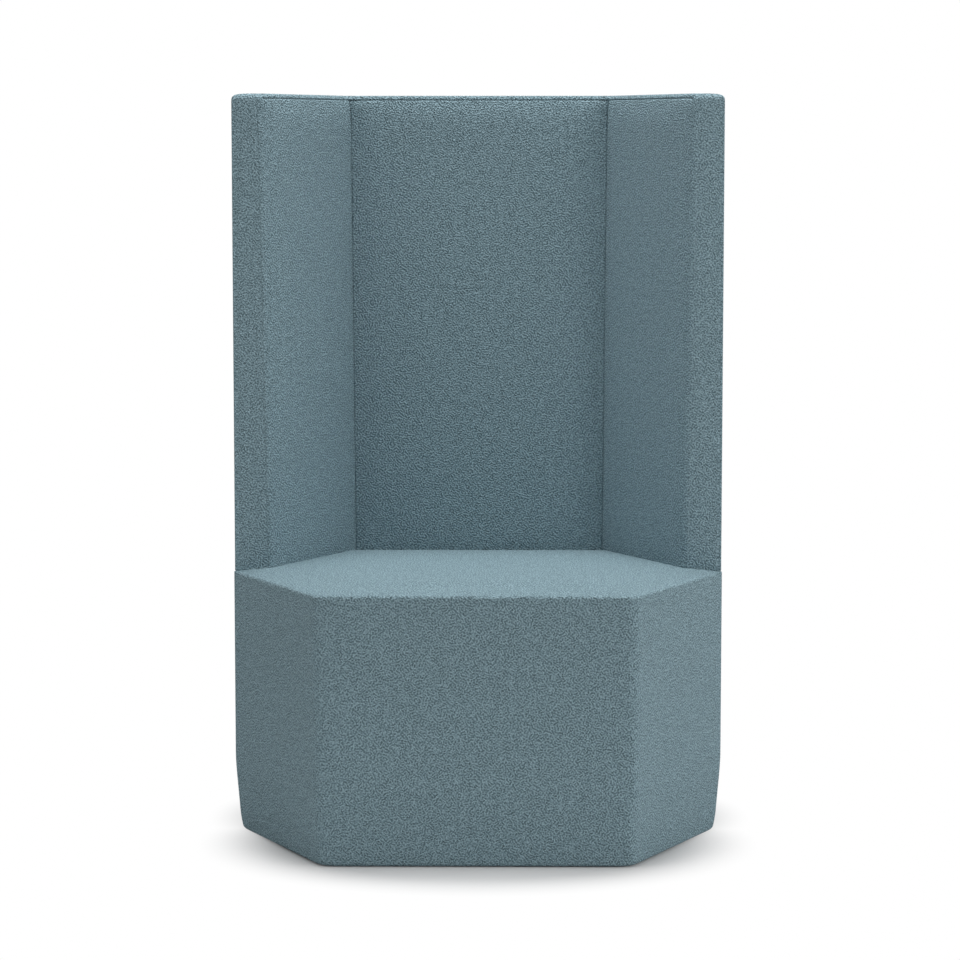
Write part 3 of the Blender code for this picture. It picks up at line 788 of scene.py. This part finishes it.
# Half the edge roll's section in mm, from seam to flat: depth behind the face, distance from the ridge
ROLL_SECTION = [(1.9, 8.2), (1.1, 8.1), (0.45, 7.6), (0.1, 6.9), (0.0, 6.0), (0.9, 3.4), (2.4, 1.4)]
ROLL_SECTION += [(4.2, 0.35), (5.2, 0.35), (6.2, 1.3), (7.4, 0.55)]
ROLL_SECTION = np.array(ROLL_SECTION) / 1000.0
ROLL_FLAT = [0.35, 0.5, 0.65]
ROLL_FLAT_FALL = 0.0004
ROLL_UNDER = [0.8, 0.5, 0.2]
ROLL_UNDER_FALL = 0.0120
ROLL_SET_BACK = 0.0026


def roll_section(top):
    """The closed section: share of the thickness, depth added to it, distance from the ridge.
    On the top edge, where top is 1, its inner half is set back."""
    section = [(0.0, depth, fall) for depth, fall in ROLL_SECTION]
    section += [(share, 0.0, ROLL_FLAT_FALL) for share in ROLL_FLAT]
    section += [(1.0, -depth - ROLL_SET_BACK * top, fall) for depth, fall in ROLL_SECTION[::-1]]
    return section + [(share, 0.0, ROLL_UNDER_FALL) for share in ROLL_UNDER]


def wing_station(y, z, way):
    """The roll's section on a wing's end or top corner; way leads away from the ridge, into the back."""
    points = []
    for share, depth, fall in roll_section(-way[1]):
        at_y, at_z = y + way[0] * fall, z + way[1] * fall
        deep = share * (thickness(at_z) + fullness(REAR_LEFT, at_y)) + depth
        plan = meet(side_line(REAR_LEFT, deep), end_line(at_y))
        points.append((plan[0], plan[1], at_z))
    return points


def top_station(index, paths, deeps):
    """The roll's section on the top edge, at one column of the plan paths."""
    points = []
    for share, depth, fall in roll_section(1.0):
        at = share * thickness(TOP_Z - fall) + depth
        points.append([np.interp(at, deeps, paths[:, index, axis]) for axis in (0, 1)] + [TOP_Z - fall])
    return points


# Where the roll turns from a wing's end to the top, the corner takes the place of some rows and columns
CORNER_ROWS = 5
CORNER_COLUMNS = 6
CORNER_TURNS = np.radians([0, 15, 30, 45, 60, 75, 90])
ROLL_DEPTHS = np.linspace(0.0, THICK_FOOT, 20)

# The foot of each end is drawn in, where it stands on the seat: over how many rows, by which share of the
# turn, and by no more than a share of the way to the middle
FOOT_ROWS = 8
FOOT_DRAW = 0.7
MOST_DRAW = 0.5


def edge_roll():
    """The boxing strip over the top of the back and down both ends, and its rings of points."""
    stations = []
    rise = TOP_Z - ROLL_CORNER - PAD_FOOT_Z
    for share in spaced(rise)[:-CORNER_ROWS]:
        stations.append(wing_station(0.0, PAD_FOOT_Z + share * rise, (1.0, 0.0)))
    for angle in CORNER_TURNS:
        y = ROLL_CORNER * (1 - math.cos(angle))
        z = TOP_Z - ROLL_CORNER * (1 - math.sin(angle))
        stations.append(wing_station(y, z, (math.cos(angle), -math.sin(angle))))
    paths = np.array([outer_path(d, ROLL_CORNER, d / THICK_TOP) for d in ROLL_DEPTHS])
    for index in range(CORNER_COLUMNS, paths.shape[1] // 2):
        stations.append(top_station(index, paths, ROLL_DEPTHS))
    left = ease_tip(np.array(stations))
    middle = left.mean(axis=1, keepdims=True)
    from_foot = left[:, :1, 2:] - PAD_FOOT_Z
    near_foot = np.arange(len(left))[:, None, None] < FOOT_ROWS
    narrow = np.where(near_foot, turn_in(from_foot, FOOT_TURN), 0.0)
    pull = middle - left
    pull[..., 2] = 0.0
    reach = np.linalg.norm(pull, axis=2, keepdims=True)
    left = left + pull / np.maximum(reach, TINY) * np.minimum(narrow * FOOT_DRAW, reach * MOST_DRAW)
    right = left[::-1] * [-1.0, 1.0, 1.0]
    rings = np.concatenate([left, right])
    obj = finer(lay_cloth(closed_tube("back_edge_roll", rings, CLOTH)))
    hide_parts("edge_band", "edge_foam")
    return obj, rings


def upholstered(obj):
    """Attaches a padded piece, which stands for foam under the same cloth, to the module, so that it moves
    with it.
    """
    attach(obj, BODY)


upholstered(seat_upholstery())

WING_TUCK = [SIDE_SEAM_TURN, WING_CREASE_TURN]
WING_ROLL = [END_ROLL, WING_CREASE_ROLL]
PADS = [
    inner_pad("left", (REAR_LEFT, ROLL + EASE, REAR), WING_TUCK, WING_ROLL),
    inner_pad("rear", (REAR, REAR_LEFT, REAR_RIGHT), [REAR_CREASE_TURN] * 2, [REAR_CREASE_ROLL] * 2),
    inner_pad("right", (REAR_RIGHT, REAR, ROLL + EASE), WING_TUCK[::-1], WING_ROLL[::-1]),
    outer_cover(),
]
ROLL_PIECE, ROLL_RINGS = edge_roll()
for pad in PADS + [ROLL_PIECE]:
    upholstered(pad)


# Stitches and staples, set along a line by one tree


def set_along_tree():
    """Sets copies of a small piece along a line at a pitch."""
    tree = bpy.data.node_groups.new("set_along_line", "GeometryNodeTree")
    sockets = {"Line": "Geometry", "Pitch": "Float", "Piece": "Object", "Finish": "Material"}
    for name, kind in sockets.items():
        tree.interface.new_socket(name=name, in_out="INPUT", socket_type=f"NodeSocket{kind}")
    tree.interface.new_socket(name="Pieces", in_out="OUTPUT", socket_type="NodeSocketGeometry")
    given = node(tree, "NodeGroupInput").outputs
    line = node(tree, "GeometryNodeMeshToCurve", {"Mesh": given["Line"]})
    spacing = {"Curve": line.outputs[0], "Length": given["Pitch"]}
    places = node(tree, "GeometryNodeCurveToPoints", spacing, mode="LENGTH")
    small = node(tree, "GeometryNodeObjectInfo", {"Object": given["Piece"], "As Instance": True})
    copies = node(
        tree,
        "GeometryNodeInstanceOnPoints",
        {
            "Points": places.outputs["Points"],
            "Instance": small.outputs["Geometry"],
            "Rotation": places.outputs["Rotation"],
        },
    )
    whole = node(tree, "GeometryNodeRealizeInstances", {"Geometry": copies.outputs[0]})
    dressing = {"Geometry": whole.outputs[0], "Material": given["Finish"]}
    dressed = node(tree, "GeometryNodeSetMaterial", dressing)
    node(tree, "NodeGroupOutput", {"Pieces": dressed.outputs[0]})
    return tree


SET_ALONG = set_along_tree()


# A way that no small tube runs along
ASKEW = [0.3, 0.9, 0.1]


def tube(name, length, stops, sides=6):
    """A small closed tube along Z, from stops that are each a share of its length and a radius."""
    path = np.array([(0.0, 0.0, share * length) for share, _ in stops])
    ways = np.gradient(path, axis=0)
    rings = []
    for point, way, (_, radius) in zip(path, ways, stops):
        way = way / np.linalg.norm(way)
        one = np.cross(way, ASKEW)
        one /= np.linalg.norm(one)
        two = np.cross(way, one)
        turns = np.arange(sides) * 2 * math.pi / sides
        rings.append(point + radius * (np.cos(turns)[:, None] * one + np.sin(turns)[:, None] * two))
    return closed_tube(name, np.array(rings), THREAD_AND_SEAM_SHADE)


def set_along(name, lines, small, pitch, finish):
    """The copies along some lines as one plain mesh."""
    points = np.concatenate(lines)
    edges, first = [], 0
    for line in lines:
        edges += [(first + i, first + i + 1) for i in range(len(line) - 1)]
        first += len(line)
    data = bpy.data.meshes.new(name)
    data.from_pydata([tuple(p) for p in points], edges, [])
    carrier = bpy.data.objects.new(name + "_line", data)
    bpy.context.scene.collection.objects.link(carrier)
    modifier = carrier.modifiers.new("set_along", "NODES")
    modifier.node_group = SET_ALONG
    values = {"Pitch": pitch, "Piece": small, "Finish": finish}
    for item in SET_ALONG.interface.items_tree:
        if item.in_out == "INPUT" and item.name in values:
            modifier[item.identifier] = values[item.name]
    made = carrier.evaluated_get(bpy.context.evaluated_depsgraph_get())
    obj = bpy.data.objects.new(name, bpy.data.meshes.new_from_object(made))
    bpy.context.scene.collection.objects.link(obj)
    bpy.data.objects.remove(carrier)
    return obj


STITCH_PITCH = 0.0072
STITCH_LENGTH = 0.0050
STITCH_RADIUS = 0.00055
STITCH_FORM = [(-0.5, 0.35), (-0.38, 0.9), (0.0, 1.0), (0.38, 0.9), (0.5, 0.35)]
stitch = tube("stitch", STITCH_LENGTH, [(s, STITCH_RADIUS * r) for s, r in STITCH_FORM])
# the second point of the roll's section lies in the outer seam, and its counterpart in the inner one
outer_seam = ROLL_RINGS[:, 1]
inner_seam = ROLL_RINGS[:, 2 * len(ROLL_SECTION) + len(ROLL_FLAT) - 2]
# the dark stitches are the seams' thread and also painted shade: a dashed dark line where the cloth would
# pucker at each stitch
stitches = set_along("edge_seam_stitches", [outer_seam, inner_seam], stitch, STITCH_PITCH, THREAD_AND_SEAM_SHADE)
bpy.data.objects.remove(stitch)
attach(stitches, BODY)

# Underside: a stapled dust cloth with a hole for each glide

DUST_INSET = 0.0304
DUST_Z = 0.0159
DUST_SAG = 0.0014
DUST_GRID = 0.024
STAPLE_INSET = 0.042
STAPLE_PITCH = 0.046
STAPLE_Z = 0.0153
STAPLE_WIDTH = 0.0105
STAPLE_FORM = [(0.5, 0.0002), (0.47, 0.00055), (0.4, 0.0006)]
GLIDE_INSET = 0.078
GLIDE_HOLE = 0.0134
HOLE_SIDES = 20
RIM_STEPS = 14
# how far from the rim and from a hole the cloth hangs fully
RIM_FREE, HOLE_FREE = 0.12, 0.06
GLIDES = plan_corners(GLIDE_INSET)


def underside_cloth():
    """The dust cloth: a flat hexagon with a hole for each glide, stapled along its rim."""
    corners = plan_corners(DUST_INSET)
    steps = np.linspace(0.0, 1.0, RIM_STEPS + 1)[:-1]
    rim = np.concatenate([between(corners[i - 1], corners[i], steps) for i in range(6)])
    turns = np.arange(HOLE_SIDES) * 2 * math.pi / HOLE_SIDES
    holes = [c + GLIDE_HOLE * np.column_stack([np.cos(turns), np.sin(turns)]) for c in GLIDES]
    xs = np.arange(-HALF_WIDTH, HALF_WIDTH, DUST_GRID)
    inside = np.array([(x, y) for x in xs for y in np.arange(-HALF_DEPTH, HALF_DEPTH, DUST_GRID)])
    clear = (AWAY - inside @ NORMALS.T).min(axis=1) > DUST_INSET + 0.6 * DUST_GRID
    for centre in GLIDES:
        clear &= np.linalg.norm(inside - centre, axis=1) > GLIDE_HOLE + 0.5 * DUST_GRID
    loops = [rim] + holes
    flat = np.concatenate(loops + [inside[clear]])
    edges, first = [], 0
    for loop in loops:
        count = len(loop)
        edges += [(first + i, first + (i + 1) % count) for i in range(count)]
        first += count
    flat, _, faces, _, _, _ = delaunay_2d_cdt([Vector(p) for p in flat], edges, [], 1, 1e-6)
    flat = np.array([tuple(p) for p in flat])
    centres = np.array([flat[list(f)].mean(axis=0) for f in faces])
    off_glide = np.min([np.linalg.norm(centres - c, axis=1) for c in GLIDES], axis=0)
    faces = [f for f, distance in zip(faces, off_glide) if distance >= GLIDE_HOLE * 0.97]
    # the cloth hangs a little between the staples and the glides
    free = (AWAY - flat @ NORMALS.T).min(axis=1) - DUST_INSET
    around = np.min([np.linalg.norm(flat - c, axis=1) for c in GLIDES], axis=0) - GLIDE_HOLE
    hang = DUST_SAG * np.clip(free / RIM_FREE, 0.0, 1.0) * np.clip(around / HOLE_FREE, 0.0, 1.0)
    obj = piece("underside_cloth", np.column_stack([flat, DUST_Z - hang]), faces, SPUNBOND)
    area = 0.5 * abs(sum(a[0] * b[1] - b[0] * a[1] for a, b in zip(corners, corners[1:] + corners[:1])))
    area -= len(GLIDES) * math.pi * GLIDE_HOLE**2
    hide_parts("dust_cover")
    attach(obj, BODY)


underside_cloth()

left_half = [(-share, radius) for share, radius in STAPLE_FORM]
staple = tube("staple", STAPLE_WIDTH, left_half + STAPLE_FORM[::-1])
staple_corners = [np.append(c, STAPLE_Z) for c in plan_corners(STAPLE_INSET)]
staple_lines = [between(staple_corners[i - 1], staple_corners[i], [0.04, 0.96]) for i in range(6)]
staples = set_along("underside_staples", staple_lines, staple, STAPLE_PITCH, ZINC)
bpy.data.objects.remove(staple)
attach(staples, BODY)


# Glides: each screw has a rolled thread, a hexagon to turn it by and a head held in the nylon pad

SCREW_PITCH = 0.00125
THREAD_START, THREAD_END = 0.0145, 0.052
THREAD_CREST, THREAD_ROOT = 0.0040, 0.0034
THREAD_ROWS = 5
THREAD_TIP = 0.0006
# a thread's flanks: how high they would meet, in crests, and how steep they are; the crest is cut flat
FLANK_TOP, FLANK_FALL = 1.6, 4.4
HEX_FLATS = 0.017
HEX_START, HEX_END = 0.0093, 0.0143
HEX_CHAMFER = 0.0005
HEX_BEVEL = 0.0004
SHANK_START = 0.0144
SCREW_COLUMNS = 24
SCREW_SHARP = math.radians(38.0)
# the round head and neck, as height and radius
SCREW_HEAD = [(0.0030, 0.0050), (0.0034, 0.0062), (0.0045, 0.0065), (0.0055, 0.0062), (0.0060, 0.0045)]
SCREW_HEAD += [(0.0064, 0.0038), (0.0091, 0.0038)]


def glide_screw(number, centre):
    """One glide's screw, built as rings of points from its head up to the tip of its thread."""
    turns = np.arange(SCREW_COLUMNS) * 2 * math.pi / SCREW_COLUMNS
    level = np.ones(SCREW_COLUMNS)
    hexagon = 0.5 * HEX_FLATS / np.cos((turns % math.radians(60.0)) - math.radians(30.0))
    bevelled = np.minimum(hexagon, 0.5 * HEX_FLATS + HEX_BEVEL)
    rows = [(z, r * level) for z, r in SCREW_HEAD]
    rows += [(HEX_START, bevelled), (HEX_START + HEX_CHAMFER, hexagon)]
    rows += [(HEX_END - HEX_CHAMFER, hexagon), (HEX_END, bevelled), (SHANK_START, THREAD_ROOT * level)]
    for z in np.arange(THREAD_START, THREAD_END, SCREW_PITCH / THREAD_ROWS):
        phase = ((z / SCREW_PITCH) - turns / (2 * math.pi)) % 1.0
        lift = np.clip(FLANK_TOP - np.abs(phase - 0.5) * FLANK_FALL, 0.0, 1.0)
        fade = np.clip(min(z - THREAD_START, THREAD_END - z) / SCREW_PITCH, 0.0, 1.0)
        rows.append((z, THREAD_ROOT + (THREAD_CREST - THREAD_ROOT) * lift * fade))
    rows.append((THREAD_END, (THREAD_ROOT - THREAD_TIP) * level))
    x, y = np.cos(turns), np.sin(turns)
    rings = [np.column_stack([centre[0] + r * x, centre[1] + r * y, z * level]) for z, r in rows]
    obj = closed_tube(f"glide_screw_{number}", np.array(rings), ZINC)
    obj.data.set_sharp_from_angle(angle=SCREW_SHARP)
    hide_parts(f"glide_stem_{number}")
    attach(obj, f"glide_stem_{number}")


for glide_number, glide_centre in enumerate(GLIDES, start=1):
    glide_screw(glide_number, glide_centre)

# Floor, lamps and camera

SCENE = bpy.context.scene
SCENE.view_settings.view_transform = "Standard"

# The shadow is kept on an oval of paper: where it starts from the middle, its half size, its fade
PAPER_START = (0.0, 0.10, 0.0)
PAPER_HALF = (0.49, 0.373)
PAPER_NEAR, PAPER_FAR = 0.635, 1.0
FLOOR_HALF = 9.0
WHITE = srgb("#ffffff")


def studio_paper():
    """Matt white paper: it keeps the soft shadow by the module, and further off is seen as plain white."""
    material, tree, shader = surface("matt_white_paper", {"Roughness": 1.0, "Specular IOR Level": 0.0})
    shader.inputs["Base Color"].default_value = srgb("#d4d4d4")

    def vector(operation, *values):
        return node(tree, "ShaderNodeVectorMath", dict(enumerate(values)), operation=operation).outputs

    aside = vector("ABSOLUTE", place_on(tree))["Vector"]
    off = vector("SUBTRACT", aside, PAPER_START)["Vector"]
    spread = vector("MULTIPLY", off, (1.0 / PAPER_HALF[0], 1.0 / PAPER_HALF[1], 0.0))["Vector"]
    fade = {"Value": vector("LENGTH", spread)["Value"], "From Min": PAPER_NEAR, "From Max": PAPER_FAR}
    white = node(tree, "ShaderNodeMapRange", fade, interpolation_type="SMOOTHSTEP").outputs["Result"]
    seen = node(tree, "ShaderNodeLightPath").outputs["Is Camera Ray"]
    share = node(tree, "ShaderNodeMath", {0: white, 1: seen}, operation="MULTIPLY").outputs[0]
    plain = node(tree, "ShaderNodeEmission", {"Color": WHITE, "Strength": 1.0}).outputs[0]
    mixed = node(tree, "ShaderNodeMixShader", {0: share, 1: shader.outputs[0], 2: plain})
    tree.links.new(mixed.outputs[0], tree.nodes["Material Output"].inputs["Surface"])
    return material


floor_corners = [(x * FLOOR_HALF, y * FLOOR_HALF, 0.0) for x, y in ((-1, -1), (1, -1), (1, 1), (-1, 1))]
floor = piece("floor", floor_corners, [(0, 1, 2, 3)], studio_paper(), smooth=False)

# The room: plain white where it is seen, a faint fill where it only lights
AMBIENT = 0.05
world = bpy.data.worlds.new("studio")
SCENE.world = world
world.use_nodes = True
sky = world.node_tree
sky.nodes.clear()
rays = node(sky, "ShaderNodeLightPath").outputs
seen_by = rays["Is Camera Ray"]
for kind in ("Is Glossy Ray", "Is Transmission Ray"):
    seen_by = node(sky, "ShaderNodeMath", {0: seen_by, 1: rays[kind]}, operation="MAXIMUM").outputs[0]
fill = node(sky, "ShaderNodeBackground", {"Color": WHITE, "Strength": AMBIENT}).outputs[0]
backdrop = node(sky, "ShaderNodeBackground", {"Color": WHITE, "Strength": 1.0}).outputs[0]
mixed = node(sky, "ShaderNodeMixShader", {0: seen_by, 1: fill, 2: backdrop})
node(sky, "ShaderNodeOutputWorld", {"Surface": mixed.outputs[0]})

# Soft boxes: place, the point each faces, width, height, power
LAMPS = {
    "overhead": ((0.0, 0.0, 4.4), (0.0, 0.0, 0.5), 1.6, 1.6, 137.0),
    "overhead_left": ((-2.0, -0.8, 4.2), (0.0, 0.0, 0.6), 2.4, 2.4, 27.0),
    "right_high": ((3.2, -2.2, 3.2), (0.0, 0.0, 0.6), 2.0, 2.0, 22.5),
    "right_front": ((2.6, -3.6, 1.8), (0.0, 0.0, 0.6), 1.8, 1.8, 36.0),
    "right_side": ((3.6, -0.4, 1.0), (0.0, 0.0, 0.4), 1.8, 1.4, 30.5),
    "left_low": ((-3.2, -1.6, 1.0), (0.0, 0.0, 0.5), 1.8, 1.8, 17.0),
}
for lamp_name, (place, target, width, height, power) in LAMPS.items():
    light = bpy.data.lights.new(lamp_name, "AREA")
    light.shape = "RECTANGLE"
    light.size, light.size_y, light.energy = width, height, power
    lamp = bpy.data.objects.new(lamp_name, light)
    SCENE.collection.objects.link(lamp)
    lamp.location = place
    away = np.asarray(place) - np.asarray(target)
    tilt = math.acos(away[2] / np.linalg.norm(away))
    lamp.rotation_euler = (tilt, 0.0, math.atan2(away[1], away[0]) + math.pi / 2)

camera_data = bpy.data.cameras.new("camera")
camera_data.sensor_width = 36.0
camera_data.lens = 107.62
camera_data.shift_y = -0.06
camera = bpy.data.objects.new("camera", camera_data)
SCENE.collection.objects.link(camera)
camera.location = (0.04247, -4.9585, 1.19439)
camera.rotation_euler = (math.radians(90.0 - 5.4886), 0.0, math.radians(0.4494))
SCENE.camera = camera
